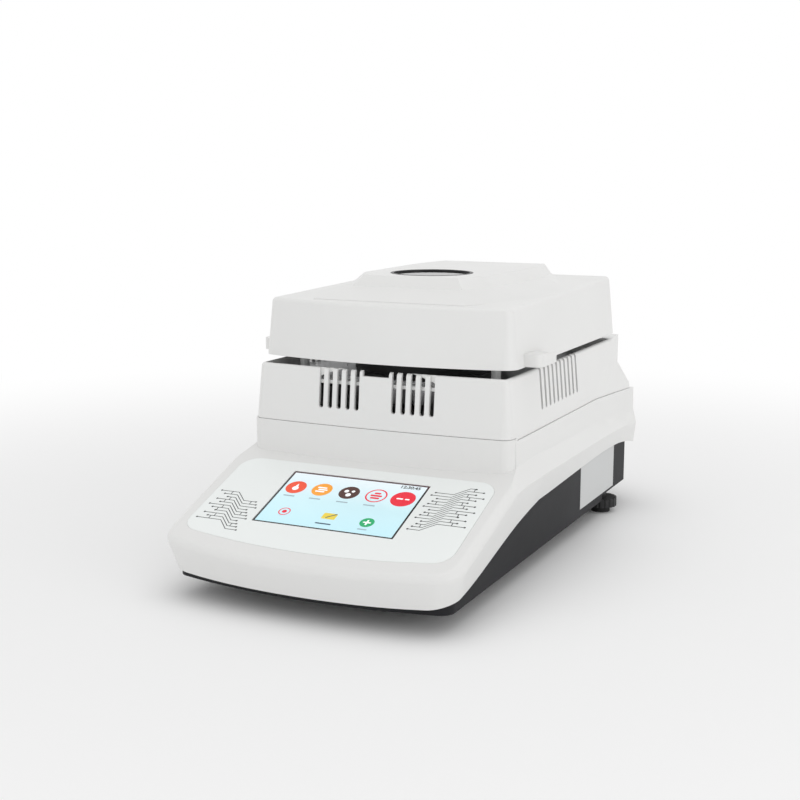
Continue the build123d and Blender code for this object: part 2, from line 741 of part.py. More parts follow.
with BuildPart() as display_screws:
    add(console_posts(3.0, -BRACKET_DEPTH - 3.2, -BRACKET_DEPTH - 1.2))
    add(console_posts(SCREW_R, -BRACKET_DEPTH - 1.2, -3.2))
    add(console_posts(1.2, -BRACKET_DEPTH - 3.2, -BRACKET_DEPTH - 2), mode=Mode.SUBTRACT)
save(display_screws, "display_screws")

# Main board and what stands on it
with BuildPart() as main_board:
    add(slab(MAIN_BOARD[0], MAIN_BOARD[1], BOARD_Z, MAIN_BOARD[2], MAIN_BOARD[3], BOARD_THICK))
    add(column(board_corners(MAIN_BOARD), 1.35, BOARD_Z, BOARD_TOP), mode=Mode.SUBTRACT)
save(main_board, "main_board")

with BuildPart() as main_chips:
    add(slab(-30, -140, BOARD_TOP, 16, 16, 1.6))
    add(slab(10, -148, BOARD_TOP, 20, 20, 1.8))
    add(slab(42, -122, BOARD_TOP, 12, 18, 1.6))
save(main_chips, "main_chips")

with BuildPart() as main_connectors:
    add(slab(0, -98, BOARD_TOP, 30, 7, 9))
    add(slab(-38, -166, BOARD_TOP, 24, 6, 8))
    add(slab(38, -166, BOARD_TOP, 24, 6, 8))
save(main_connectors, "main_connectors")

# Power board with transformer, capacitors and a cooled switching element
with BuildPart() as power_board:
    add(slab(POWER_BOARD[0], POWER_BOARD[1], BOARD_Z, POWER_BOARD[2], POWER_BOARD[3], BOARD_THICK))
    add(column(board_corners(POWER_BOARD), 1.35, BOARD_Z, BOARD_TOP), mode=Mode.SUBTRACT)
save(power_board, "power_board")

CORE = (POWER_BOARD[0] - 14.0, POWER_BOARD[1] - 13.0)
with BuildPart() as transformer_core:
    add(slab(CORE[0], CORE[1], BOARD_TOP, 46, 16, 38))
    for side in (-1, 1):
        add(slab(CORE[0] + side * 11.5, CORE[1], BOARD_TOP + 8, 9, 20, 22), mode=Mode.SUBTRACT)
save(transformer_core, "transformer_core")

with BuildPart() as transformer_coil:
    add(slab(CORE[0], CORE[1], BOARD_TOP + 8.2, 31.6, 30, 21.6))
    add(slab(CORE[0], CORE[1], BOARD_TOP, 14.1, 16.1, 60), mode=Mode.SUBTRACT)
save(transformer_coil, "transformer_coil")

CAPACITOR_X = POWER_BOARD[0] + 24
with BuildPart() as capacitors:
    add(column([(CAPACITOR_X, POWER_BOARD[1] + y) for y in (-29, -9)], 8.0, BOARD_TOP, BOARD_TOP + 28))
save(capacitors, "capacitors")

SINK_Y = POWER_BOARD[1] + 22.5
with BuildPart() as heat_sink:
    add(slab(POWER_BOARD[0], SINK_Y, BOARD_TOP, 56, 3, 30))
    for i in range(7):
        add(slab(POWER_BOARD[0] - 27 + 9 * i, SINK_Y + 7.5, BOARD_TOP, 2, 13, 30))
save(heat_sink, "heat_sink")

with BuildPart() as triac:
    add(slab(POWER_BOARD[0], SINK_Y - 3.75, BOARD_TOP + 8, 10, 4.5, 15))
    for i in (-1, 0, 1):
        add(slab(POWER_BOARD[0] + 2.5 * i, SINK_Y - 3.75, BOARD_TOP, 0.8, 0.6, 8))
save(triac, "triac")

# Sockets in the rear wall
with BuildPart() as mains_inlet:
    add(slab(INLET[0], TRAY_REAR - 8, SOCKET_Z - 10, 27.6, 17, 20))
    add(slab(INLET[0], TRAY_REAR + 1, SOCKET_Z - 12, 34, 2, 24))
    add(slab(INLET[0], TRAY_REAR - 6, SOCKET_Z - 8, 24, 17, 16), mode=Mode.SUBTRACT)
save(mains_inlet, "mains_inlet")

with BuildPart() as inlet_pins:
    for x, z in ((-7, 1.5), (0, -2.5), (7, 1.5)):
        add(slab(INLET[0] + x, TRAY_REAR - 9.5, SOCKET_Z - 2 + z, 2, 10, 4))
save(inlet_pins, "inlet_pins")

ROCKER_Y = TRAY_REAR - 3.5
ROCKER_TILT = 11.0
with BuildPart() as switch_bezel:
    add(slab(SWITCH[0], TRAY_REAR - 6, SOCKET_Z - 6.4, 19, 13, 12.8))
    add(slab(SWITCH[0], TRAY_REAR + 0.75, SOCKET_Z - 7.8, 22, 1.5, 15.6))
    add(slab(SWITCH[0], TRAY_REAR + 1, SOCKET_Z - 5.1, 16.8, 18, 10.2), mode=Mode.SUBTRACT)
    add(column([(SWITCH[0], ROCKER_Y)], 1.25, SOCKET_Z - 6.1, SOCKET_Z + 6.1), mode=Mode.SUBTRACT)
save(switch_bezel, "switch_bezel")

with BuildPart() as power_rocker:
    with BuildSketch(Plane.XY.offset(SOCKET_Z - 4.8)):
        with BuildLine():
            Polyline((-7.4, 4.2), (0, 2.9), (7.4, 4.2), (6.4, -2), (-6.4, -2), close=True)
        make_face()
    extrude(amount=9.6)
    add(column([(0, 0)], 1.2, SOCKET_Z - 5.8, SOCKET_Z + 5.8))
power_rocker.part = power_rocker.part.rotate(Axis.Z, ROCKER_TILT).moved(Location((SWITCH[0], ROCKER_Y, 0)))
save(power_rocker, "power_rocker")

with BuildPart() as serial_port:
    add(slab(SERIAL[0], TRAY_REAR - 4, SOCKET_Z - 5.2, 19.2, 8, 10.4))
    add(slab(SERIAL[0], TRAY_REAR + 0.5, SOCKET_Z - 6.3, 31, 1, 12.6))
    add(slab(SERIAL[0], TRAY_REAR + 3, SOCKET_Z - 4.2, 17, 5, 8.4))
    add(slab(SERIAL[0], TRAY_REAR + 3, SOCKET_Z - 3.6, 15.8, 6, 7.2), mode=Mode.SUBTRACT)
save(serial_port, "serial_port")

with BuildPart() as usb_port:
    add(slab(USB[0], TRAY_REAR - 7, SOCKET_Z - 5.4, 12, 16, 10.8))
    add(slab(USB[0], TRAY_REAR - 5, SOCKET_Z - 4.4, 9, 13, 8.8), mode=Mode.SUBTRACT)
    add(slab(USB[0], TRAY_REAR - 8, SOCKET_Z - 1.6, 5.6, 12, 3.2))
save(usb_port, "usb_port")

# Feet: turning wheels on threaded stems with pads at the rear, plain rubber feet in front
for name, side in (("left", -1), ("right", 1)):
    x = side * FOOT_X
    with BuildPart() as foot_wheel:
        add(column([(x, FOOT_Y)], WHEEL_R, WHEEL_Z, WHEEL_Z + WHEEL_HEIGHT))
        with BuildSketch(Plane.XY.offset(WHEEL_Z)):
            with Locations((x, FOOT_Y)):
                with PolarLocations(WHEEL_R + 0.6, 18):
                    Circle(1.3)
        extrude(amount=WHEEL_HEIGHT, mode=Mode.SUBTRACT)
        add(column([(x, FOOT_Y)], FOOT_STEM_R, 2.0, FLOOR + 18))
    save(foot_wheel, f"{name}_foot_wheel")
    with BuildPart() as foot_pad:
        add(column([(x, FOOT_Y)], PAD_R, 0, WHEEL_Z - GAP))
        add(column([(x, FOOT_Y)], FOOT_STEM_R + PIN_GAP, 1.7, WHEEL_Z), mode=Mode.SUBTRACT)
    save(foot_pad, f"{name}_foot_pad")

with BuildPart() as front_feet:
    add(column(FRONT_FEET, 9.0, 0, TRAY_Z))
    add(column(FRONT_FEET, 2.1, TRAY_Z, FLOOR + 0.5))
save(front_feet, "front_feet")

# Blank label on the tray's right side, a spirit level on the rear shelf
with BuildPart() as blank_label:
    add(slab(TRAY_HALF + 0.1, TRAY_REAR - 90, 20.5, 0.2, 91, 36.5))
save(blank_label, "blank_label")

with BuildPart() as level_body:
    add(column([(0, HINGE_Y)], LEVEL_R, HOUSING_TOP - 7, HOUSING_TOP))
    add(column([(0, HINGE_Y)], LEVEL_R + 1.5, HOUSING_TOP, HOUSING_TOP + 1))
    add(column([(0, HINGE_Y)], LEVEL_R - 1.5, HOUSING_TOP - 5, HOUSING_TOP + 2), mode=Mode.SUBTRACT)
save(level_body, "level_body")

with BuildPart() as level_vial:
    add(column([(0, HINGE_Y)], LEVEL_R - 1.5, HOUSING_TOP - 5, HOUSING_TOP + 0.8))
save(level_vial, "level_vial")

# Screws
with BuildPart() as case_screws:
    add(screw_up(CASE_SCREWS, SCREW_R, 3.2, 2.4, TRAY_Z + 3, 14.5))
save(case_screws, "case_screws")

with BuildPart() as housing_screws:
    add(screw_up(HOUSING_SCREWS, SCREW_R, 3.2, 2.4, TAB_Z, 20))
save(housing_screws, "housing_screws")

with BuildPart() as board_screws:
    add(screw_down(STANDOFFS, 1.2, 2.6, 1.8, BOARD_TOP, 6.5))
save(board_screws, "board_screws")

# Lid cover: tapered hollow body, raised cap with a round window, finger lugs and knuckles
LID_BOW = 370.0
LID_TAPER = 5.5
LID_TOP_FRONT = (LID_FRONT + 12.5, LID_Z + LID_HEIGHT)
LID_TOP_REAR = (LID_REAR, LID_Z + LID_HEIGHT + LID_RISE)
CAP_REAR = LID_REAR - 23
CAP_TOP = LID_Z + CAP_RISE
CAP_FOOT = [(60, -73), (92, -11), (92, CAP_REAR - 72), (62, CAP_REAR)]
CAP_SECTIONS = [
    (CAP_TOP - 18.4, CAP_FOOT),
    (CAP_TOP - 15.4, CAP_FOOT),
    (CAP_TOP - 7.8, [(45, -41), (58, -15), (60, CAP_REAR - 49), (50, CAP_REAR - 3)]),
    (CAP_TOP, [(38, -34), (50, -10), (52, CAP_REAR - 51), (46, CAP_REAR - 8)]),
]
LUG_X = 104.0
LUG_Y = -41.0
LUG_Z = LID_Z + 0.4
LUG_TOP = LUG_Z + 9.0
WINDOW_Z = CAP_TOP - 3.4


def lid_top(y):
    """Height of the lid's sloping top along Y."""
    slope = (LID_TOP_REAR[1] - LID_TOP_FRONT[1]) / (LID_TOP_REAR[0] - LID_TOP_FRONT[0])
    return LID_TOP_FRONT[1] + (y - LID_TOP_FRONT[0]) * slope


def cap_form(inset):
    """The raised cap, or its hollow when inset is the wall."""
    sections = []
    for z, points in CAP_SECTIONS:
        right = [(x - inset, y + inset if y < 30 else y - inset) for x, y in points]
        left = [(-x, y) for x, y in reversed(right)]
        sections.append((z - inset, right + left))
    return ruled_form(sections)


def lid_form(inset):
    """The lid's outer form, or its hollow when inset is the wall."""
    with BuildPart() as form:
        with BuildSketch(Plane.XY.offset(LID_Z)):
            add(
                bowed_outline(
                    LID_HALF - inset, LID_FRONT + inset, LID_BOW, LID_REAR - inset, 11 - inset, 10 - inset
                )
            )
        extrude(amount=LID_HEIGHT + 6.3, taper=LID_TAPER)
        clear = LID_Z + 107
        top = [(-120, lid_top(-120) - inset), (200, lid_top(200) - inset), (200, clear), (-120, clear)]
        add(side_prism(top, 130), mode=Mode.SUBTRACT)
        if inset == 0:
            upper = form.faces().filter_by(lambda f: f.normal_at().Z > 0.9)
            fillet(upper.edges(), 3.5)
        add(cap_form(inset))
    return form.part


with BuildPart() as lid_posts:
    add(column(LID_SCREWS, 4.0, BASE_PLATE_Z + BASE_PLATE_THICK, CAP_TOP))
    add(lid_form(0.5), mode=Mode.INTERSECT)
    add(column(LID_SCREWS, SCREW_R + PIN_GAP, BASE_PLATE_Z, BASE_PLATE_Z + 16.6), mode=Mode.SUBTRACT)
with BuildPart() as lid_lugs:
    for side in (-1, 1):
        with BuildSketch(Plane.XY.offset(LUG_Z)):
            with Locations((side * (LUG_X + 1.25), LUG_Y)):
                outline = Rectangle(14.5, 36)
                fillet(outline.vertices().filter_by(lambda v: abs(v.X) > LUG_X), 5)
        extrude(amount=LUG_TOP - LUG_Z)
    add(
        side_prism(
            [
                (LUG_Y - 29, LUG_TOP + 1),
                (LUG_Y - 4, LUG_TOP),
                (LUG_Y + 31, LUG_TOP - 4),
                (LUG_Y + 41, LUG_TOP + 17.4),
                (LUG_Y - 29, LUG_TOP + 17.4),
            ],
            130,
        ),
        mode=Mode.SUBTRACT,
    )
ROOT_Y = LID_REAR - 1.8
ROOT_HEIGHT = HINGE_Z + KNUCKLE_R - LUG_Z
with BuildPart() as lid_knuckles:
    for side in (-1, 1):
        root_y = (ROOT_Y + HINGE_Y) / 2
        add(slab(side * HINGE_X, root_y, LUG_Z, KNUCKLE_WIDTH, HINGE_Y - ROOT_Y, ROOT_HEIGHT))
        add(cross_pin(side * HINGE_X, HINGE_Y, HINGE_Z, KNUCKLE_R, KNUCKLE_WIDTH))
    add(cross_pin(0, HINGE_Y, HINGE_Z, HINGE_PIN_R + PIN_GAP, 200), mode=Mode.SUBTRACT)
with BuildPart() as lid_cover:
    add(lid_form(0))
    add(lid_form(LID_WALL), mode=Mode.SUBTRACT)
    add(lid_posts.part)
    add(lid_lugs.part)
    add(lid_knuckles.part)
    add(column([(0, WINDOW_Y)], WINDOW_R + 4.2, WINDOW_Z - 3, WINDOW_Z + 3))
    add(column([(0, WINDOW_Y)], WINDOW_R, WINDOW_Z, WINDOW_Z + 7), mode=Mode.SUBTRACT)
    add(column([(0, WINDOW_Y)], WINDOW_R - 3.3, WINDOW_Z - 8, WINDOW_Z + 7), mode=Mode.SUBTRACT)
save(lid_cover, "lid_cover")

with BuildPart() as window_glass:
    add(column([(0, WINDOW_Y)], WINDOW_R - 0.2, WINDOW_Z, WINDOW_Z + 2.4))
save(window_glass, "window_glass")

with BuildPart() as window_ring:
    add(tube_ring([(0, WINDOW_Y)], WINDOW_R - 0.1, WINDOW_R - 2.6, WINDOW_Z + 2.4, WINDOW_Z + 3.6))
save(window_ring, "window_ring")

# Base plate of the lid with the protective glass and its wire retainer
PLATE_HOLE_R = BOWL_R - 3.0
GLASS_R = PLATE_HOLE_R + 2.5
GLASS_THICK = 2.9
GLASS_Z = BASE_PLATE_Z - GLASS_THICK
WIRE_R = 0.9
CLIP_R = GLASS_R + 2.4
CLIPS = [
    (CLIP_R * cos(radians(angle)), CHAMBER_Y + CLIP_R * sin(radians(angle))) for angle in (90, 210, 330)
]
PLATE_TOP = BASE_PLATE_Z + BASE_PLATE_THICK
with BuildPart() as lid_base_plate:
    with BuildSketch(Plane.XY.offset(BASE_PLATE_Z)):
        add(bowed_outline(LID_HALF - 3.4, LID_FRONT + 3.4, LID_BOW, LID_REAR - 3.4, 8, 7))
        with Locations((0, CHAMBER_Y)):
            Circle(PLATE_HOLE_R, mode=Mode.SUBTRACT)
        with Locations(*LID_SCREWS):
            Circle(SCREW_R + 0.2, mode=Mode.SUBTRACT)
        with Locations(*CLIPS):
            Circle(1.25, mode=Mode.SUBTRACT)
    extrude(amount=BASE_PLATE_THICK)
save(lid_base_plate, "lid_base_plate")

with BuildPart() as protective_glass:
    add(column([(0, CHAMBER_Y)], GLASS_R, GLASS_Z, BASE_PLATE_Z))
save(protective_glass, "protective_glass")

with BuildPart() as glass_retainer:
    with BuildSketch(Plane.XZ.offset(-CHAMBER_Y)):
        with Locations((GLASS_R - 1.1, GLASS_Z - WIRE_R)):
            Circle(WIRE_R)
    revolve(axis=Axis((0, CHAMBER_Y, 0), (0, 0, 1)))
save(glass_retainer, "glass_retainer")

with BuildPart() as retainer_screws:
    add(screw_up(CLIPS, 1.2, 3.2, 0.8, GLASS_Z - 2 * WIRE_R, 6.4))
save(retainer_screws, "retainer_screws")

with BuildPart() as lid_screws:
    add(screw_up(LID_SCREWS, SCREW_R, 3.0, 2.0, BASE_PLATE_Z, 16))
save(lid_screws, "lid_screws")

# Lamp, reflector and sensor above the base plate
REFLECTOR_R = PLATE_HOLE_R + 1.0
REFLECTOR_WALL = 0.8
REFLECTOR_TOP = PLATE_TOP + 28.6
REFLECTOR_BEND = REFLECTOR_TOP - 9.8
LAMP_R = REFLECTOR_R - 12.0
LAMP_TUBE_R = 4.5
LAMP_Z = PLATE_TOP + 12.6
SENSOR_Z = PLATE_TOP + 5.6
LAMP_GAP = 17.0
TUBE_R = 30.0
with BuildPart() as reflector:
    add(
        turned(
            [
                (REFLECTOR_R, PLATE_TOP),
                (REFLECTOR_R + 8, PLATE_TOP),
                (REFLECTOR_R + 8, PLATE_TOP + REFLECTOR_WALL),
                (REFLECTOR_R + REFLECTOR_WALL, PLATE_TOP + REFLECTOR_WALL),
                (REFLECTOR_R + REFLECTOR_WALL, REFLECTOR_BEND),
                (TUBE_R + 4, REFLECTOR_TOP),
                (TUBE_R, REFLECTOR_TOP),
                (TUBE_R, REFLECTOR_TOP - REFLECTOR_WALL),
                (TUBE_R + 3.7, REFLECTOR_TOP - REFLECTOR_WALL),
                (REFLECTOR_R, REFLECTOR_BEND - REFLECTOR_WALL),
            ],
            CHAMBER_Y,
        )
    )
    add(cross_pin(-REFLECTOR_R, CHAMBER_Y, SENSOR_Z, 1.6, 20), mode=Mode.SUBTRACT)
    add(column(CLIPS, 2.2, PLATE_TOP - 1, PLATE_TOP + 2), mode=Mode.SUBTRACT)
save(reflector, "reflector")

with BuildPart() as sight_tube:
    add(tube_ring([(0, CHAMBER_Y)], TUBE_R + 1.5, TUBE_R + 0.5, REFLECTOR_TOP, WINDOW_Z - 3))
save(sight_tube, "sight_tube")


def lamp_tube(radius):
    """The lamp's open ring, with its gap at the rear."""
    axis = Axis((0, CHAMBER_Y, 0), (0, 0, 1))
    with BuildPart() as tube:
        with BuildSketch(Plane.XZ.offset(-CHAMBER_Y)):
            with Locations((LAMP_R, LAMP_Z)):
                Circle(radius)
        revolve(axis=axis, revolution_arc=360 - 2 * LAMP_GAP)
    return tube.part.rotate(axis, 90 + LAMP_GAP)


with BuildPart() as ring_lamp:
    add(lamp_tube(LAMP_TUBE_R))
save(ring_lamp, "ring_lamp")

with BuildPart() as lamp_holder:
    add(slab(0, CHAMBER_Y + LAMP_R + 2, LAMP_Z - 8, 30, 26, 13))
    add(column([(0, CHAMBER_Y)], REFLECTOR_R - PIN_GAP, LAMP_Z - 20, LAMP_Z + 10), mode=Mode.INTERSECT)
    add(lamp_tube(LAMP_TUBE_R + PIN_GAP), mode=Mode.SUBTRACT)
save(lamp_holder, "lamp_holder")

with BuildPart() as temperature_sensor:
    add(cross_pin(4 - REFLECTOR_R, CHAMBER_Y, SENSOR_Z, 1.5, 32))
    add(cross_pin(-3.5 - REFLECTOR_R, CHAMBER_Y, SENSOR_Z, 3.5, 5))
save(temperature_sensor, "temperature_sensor")

# Hinge brackets on the rear shelf and their pins
for name, side in (("left", -1), ("right", 1)):
    x = side * HINGE_X
    ear_x = KNUCKLE_WIDTH / 2 + GAP + EAR_THICK / 2
    ear_height = HINGE_Z - HOUSING_TOP - 2
    with BuildPart() as hinge_bracket:
        add(slab(x, HINGE_Y, HOUSING_TOP, 30, 24, 2.5))
        for flank in (-1, 1):
            add(slab(x + flank * ear_x, HINGE_Y, HOUSING_TOP + 2, EAR_THICK, 2 * KNUCKLE_R, ear_height))
            add(cross_pin(x + flank * ear_x, HINGE_Y, HINGE_Z, KNUCKLE_R, EAR_THICK))
        add(cross_pin(x, HINGE_Y, HINGE_Z, HINGE_PIN_R, 40), mode=Mode.SUBTRACT)
    save(hinge_bracket, f"{name}_hinge_bracket")
with BuildPart() as hinge_pins:
    for side in (-1, 1):
        add(cross_pin(side * HINGE_X, HINGE_Y, HINGE_Z, HINGE_PIN_R, 21))
save(hinge_pins, "hinge_pins")
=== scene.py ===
import json
import math

import bpy
from mathutils import Matrix, Vector


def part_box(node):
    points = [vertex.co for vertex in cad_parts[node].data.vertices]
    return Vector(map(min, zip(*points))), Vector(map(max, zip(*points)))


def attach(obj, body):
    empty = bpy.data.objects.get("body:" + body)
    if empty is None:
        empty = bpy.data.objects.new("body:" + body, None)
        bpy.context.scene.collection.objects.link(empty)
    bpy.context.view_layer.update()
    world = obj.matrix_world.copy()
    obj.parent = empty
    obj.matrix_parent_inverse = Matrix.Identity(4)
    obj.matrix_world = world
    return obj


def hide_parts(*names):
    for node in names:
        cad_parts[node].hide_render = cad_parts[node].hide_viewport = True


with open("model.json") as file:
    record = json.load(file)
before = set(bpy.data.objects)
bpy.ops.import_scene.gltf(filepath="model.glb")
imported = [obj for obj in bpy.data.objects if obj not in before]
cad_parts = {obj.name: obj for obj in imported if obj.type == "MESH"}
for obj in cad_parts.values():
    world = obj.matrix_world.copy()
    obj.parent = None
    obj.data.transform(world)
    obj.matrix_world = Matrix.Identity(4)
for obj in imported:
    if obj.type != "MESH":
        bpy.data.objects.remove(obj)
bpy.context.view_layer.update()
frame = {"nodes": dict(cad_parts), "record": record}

# The console plane and the screen on it, in metres
TILT = math.radians(20.0)
SCREEN_CENTRE = Vector((0.0, -0.1441, 0.0643))
SCREEN_HALF = (0.0533, 0.0317)
SCREEN_BORDER = 0.0013
SCREEN_GLOW = 0.36

# Heights of drawings over the console plane, in millimetres
OVERLAY_TOP = 0.13
PICTURE_TOP = -0.17
MARK_TOP = -0.15

# Depth of every finish's grain, in metres
GRAIN_DEPTH = 0.0002


def deselect():
    """Nothing selected, in object mode."""
    if bpy.context.object and bpy.context.object.mode != "OBJECT":
        bpy.ops.object.mode_set(mode="OBJECT")
    bpy.ops.object.select_all(action="DESELECT")


def pick(obj):
    """Only this object selected and active."""
    deselect()
    obj.select_set(True)
    bpy.context.view_layer.objects.active = obj


def place(obj):
    """The object's place goes into its mesh."""
    pick(obj)
    bpy.ops.object.transform_apply(location=True, rotation=True, scale=True)


def join(pieces, name):
    """Several meshes become one object."""
    pick(pieces[0])
    for piece in pieces[1:]:
        piece.select_set(True)
    if len(pieces) > 1:
        bpy.ops.object.join()
    joined = bpy.context.object
    joined.name = name
    return joined


def repeat(piece, places):
    """The piece and its copies, each moved to one place and with its own mesh."""
    pieces = [piece]
    for _ in places[1:]:
        copy = piece.copy()
        copy.data = piece.data.copy()
        bpy.context.scene.collection.objects.link(copy)
        pieces.append(copy)
    for copy, where in zip(pieces, places):
        copy.location = where
        place(copy)
    return pieces


def dress(obj, material, body="base"):
    """Finish, slot and body of a new piece."""
    obj.data.materials.clear()
    obj.data.materials.append(material)
    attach(obj, body)


# Finishes
def grain_group():
    """A cloudy shade and a fine grain, shared by the solid finishes."""
    group = bpy.data.node_groups.new("surface_grain", "ShaderNodeTree")
    face = group.interface
    face.new_socket("Vector", in_out="INPUT", socket_type="NodeSocketVector")
    for name, value in (("Grain scale", 900.0), ("Cloud scale", 14.0), ("Cloud depth", 0.03)):
        socket = face.new_socket(name, in_out="INPUT", socket_type="NodeSocketFloat")
        socket.default_value = value
    face.new_socket("Shade", in_out="OUTPUT", socket_type="NodeSocketFloat")
    face.new_socket("Height", in_out="OUTPUT", socket_type="NodeSocketFloat")
    face.new_socket("Rub", in_out="OUTPUT", socket_type="NodeSocketFloat")
    nodes, links = group.nodes, group.links
    entry = nodes.new("NodeGroupInput")
    out = nodes.new("NodeGroupOutput")
    grain = nodes.new("ShaderNodeTexNoise")
    grain.inputs["Detail"].default_value = 2.0
    links.new(entry.outputs["Vector"], grain.inputs["Vector"])
    links.new(entry.outputs["Grain scale"], grain.inputs["Scale"])
    cloud = nodes.new("ShaderNodeTexNoise")
    cloud.inputs["Detail"].default_value = 4.0
    links.new(entry.outputs["Vector"], cloud.inputs["Vector"])
    links.new(entry.outputs["Cloud scale"], cloud.inputs["Scale"])
    depth = nodes.new("ShaderNodeMath")
    depth.operation = "MULTIPLY"
    links.new(cloud.outputs["Fac"], depth.inputs[0])
    links.new(entry.outputs["Cloud depth"], depth.inputs[1])
    shade = nodes.new("ShaderNodeMath")
    shade.operation = "SUBTRACT"
    shade.inputs[0].default_value = 1.0
    links.new(depth.outputs[0], shade.inputs[1])
    links.new(shade.outputs[0], out.inputs["Shade"])
    links.new(grain.outputs["Fac"], out.inputs["Height"])
    links.new(cloud.outputs["Fac"], out.inputs["Rub"])
    return group


GRAIN = grain_group()


def finish(
    name,
    color,
    rough,
    grain=900.0,
    bump=0.12,
    cloud=14.0,
    depth=0.03,
    metal=0.0,
    stretch=None,
    spread=0.08,
    shine=0.5,
):
    """A solid finish: colour with a cloudy shade, roughness that varies, and a fine grain."""
    material = bpy.data.materials.new(name)
    material.use_nodes = True
    nodes, links = material.node_tree.nodes, material.node_tree.links
    shader = nodes["Principled BSDF"]
    shader.inputs["Metallic"].default_value = metal
    shader.inputs["Specular IOR Level"].default_value = shine
    where = nodes.new("ShaderNodeTexCoord")
    vector = where.outputs["Object"]
    if stretch:
        turn = nodes.new("ShaderNodeMapping")
        turn.inputs["Scale"].default_value = stretch
        links.new(vector, turn.inputs["Vector"])
        vector = turn.outputs["Vector"]
    surface = nodes.new("ShaderNodeGroup")
    surface.node_tree = GRAIN
    surface.inputs["Grain scale"].default_value = grain
    surface.inputs["Cloud scale"].default_value = cloud
    surface.inputs["Cloud depth"].default_value = depth
    links.new(vector, surface.inputs["Vector"])
    tint = nodes.new("ShaderNodeMix")
    tint.data_type = "RGBA"
    tint.blend_type = "MULTIPLY"
    tint.inputs["Factor"].default_value = 1.0
    tint.inputs["A"].default_value = (*color, 1.0)
    links.new(surface.outputs["Shade"], tint.inputs["B"])
    links.new(tint.outputs["Result"], shader.inputs["Base Color"])
    gloss = nodes.new("ShaderNodeMapRange")
    gloss.inputs["To Min"].default_value = max(rough - spread, 0.02)
    gloss.inputs["To Max"].default_value = min(rough + spread, 1.0)
    links.new(surface.outputs["Rub"], gloss.inputs["Value"])
    links.new(gloss.outputs["Result"], shader.inputs["Roughness"])
    relief = nodes.new("ShaderNodeBump")
    relief.inputs["Strength"].default_value = bump
    relief.inputs["Distance"].default_value = GRAIN_DEPTH
    links.new(surface.outputs["Height"], relief.inputs["Height"])
    links.new(relief.outputs["Normal"], shader.inputs["Normal"])
    return material


def clear(name, color, rough, ior=1.5, shine=0.5, through=1.0):
    """A clear finish, such as glass."""
    material = finish(name, color, rough, grain=300.0, bump=0.01, depth=0.02, spread=0.01, shine=shine)
    shader = material.node_tree.nodes["Principled BSDF"]
    shader.inputs["Transmission Weight"].default_value = through
    shader.inputs["IOR"].default_value = ior
    return material


finishes = {
    "white_plastic": finish("moulded_white", (0.80, 0.80, 0.79), 0.42, grain=1400.0, bump=0.10),
    "grey_plastic": finish(
        "tray_grey", (0.0145, 0.0146, 0.017), 0.55, grain=1100.0, bump=0.25, depth=0.15, shine=0.2
    ),
    "black_plastic": finish("moulded_black", (0.012, 0.012, 0.013), 0.40, depth=0.2),
    "overlay_film": finish(
        "overlay_film", (0.885, 0.915, 0.905), 0.34, grain=2200.0, bump=0.05, depth=0.01
    ),
    "display_dark": finish("display_dark", (0.01, 0.01, 0.012), 0.25, depth=0.1),
    "board_green": finish("board_green", (0.01, 0.07, 0.03), 0.35, grain=500.0, depth=0.3, cloud=160.0),
    "steel": finish(
        "brushed_steel", (0.56, 0.56, 0.57), 0.30, metal=1.0, stretch=(1.0, 30.0, 30.0), grain=120.0
    ),
    "aluminium": finish(
        "milled_aluminium", (0.70, 0.71, 0.72), 0.34, metal=1.0, stretch=(20.0, 1.0, 20.0), grain=150.0
    ),
    "black_metal": finish("black_coat", (0.012, 0.012, 0.012), 0.55, grain=700.0, bump=0.3, depth=0.25),
    "rubber": finish("rubber", (0.012, 0.012, 0.012), 0.75, grain=600.0, bump=0.35, depth=0.3),
    "clear_glass": clear("clear_glass", (0.97, 0.99, 0.99), 0.02),
    "window_glass": clear("window_glass", (0.10, 0.10, 0.105), 0.03, ior=1.18, shine=0.12),
    "lamp_glass": clear("lamp_glass", (0.97, 0.96, 0.92), 0.08),
    "vial_glass": clear("vial_glass", (0.42, 0.74, 0.10), 0.04, through=0.25),
    "ceramic": finish("ceramic", (0.76, 0.73, 0.66), 0.7, grain=500.0, bump=0.3, depth=0.12),
    "copper": finish(
        "wound_copper", (0.72, 0.30, 0.12), 0.38, metal=1.0, stretch=(1.0, 1.0, 60.0), grain=60.0, bump=0.5
    ),
    "chrome": finish("polished_reflector", (0.80, 0.80, 0.80), 0.10, metal=1.0, bump=0.03, spread=0.03),
    "label_film": finish("label_film", (0.62, 0.63, 0.63), 0.45, grain=1500.0, bump=0.04, depth=0.03),
}


def console_place(nodes, links):
    """Distances from the screen's centre, across the console and up along it."""
    where = nodes.new("ShaderNodeTexCoord")
    parts = nodes.new("ShaderNodeSeparateXYZ")
    links.new(where.outputs["Object"], parts.inputs["Vector"])
    along = nodes.new("ShaderNodeVectorMath")
    along.operation = "DOT_PRODUCT"
    shift = nodes.new("ShaderNodeVectorMath")
    shift.operation = "SUBTRACT"
    shift.inputs[1].default_value = SCREEN_CENTRE
    links.new(where.outputs["Object"], shift.inputs[0])
    links.new(shift.outputs["Vector"], along.inputs[0])
    along.inputs[1].default_value = (0.0, math.cos(TILT), math.sin(TILT))
    return parts.outputs["X"], along.outputs["Value"]


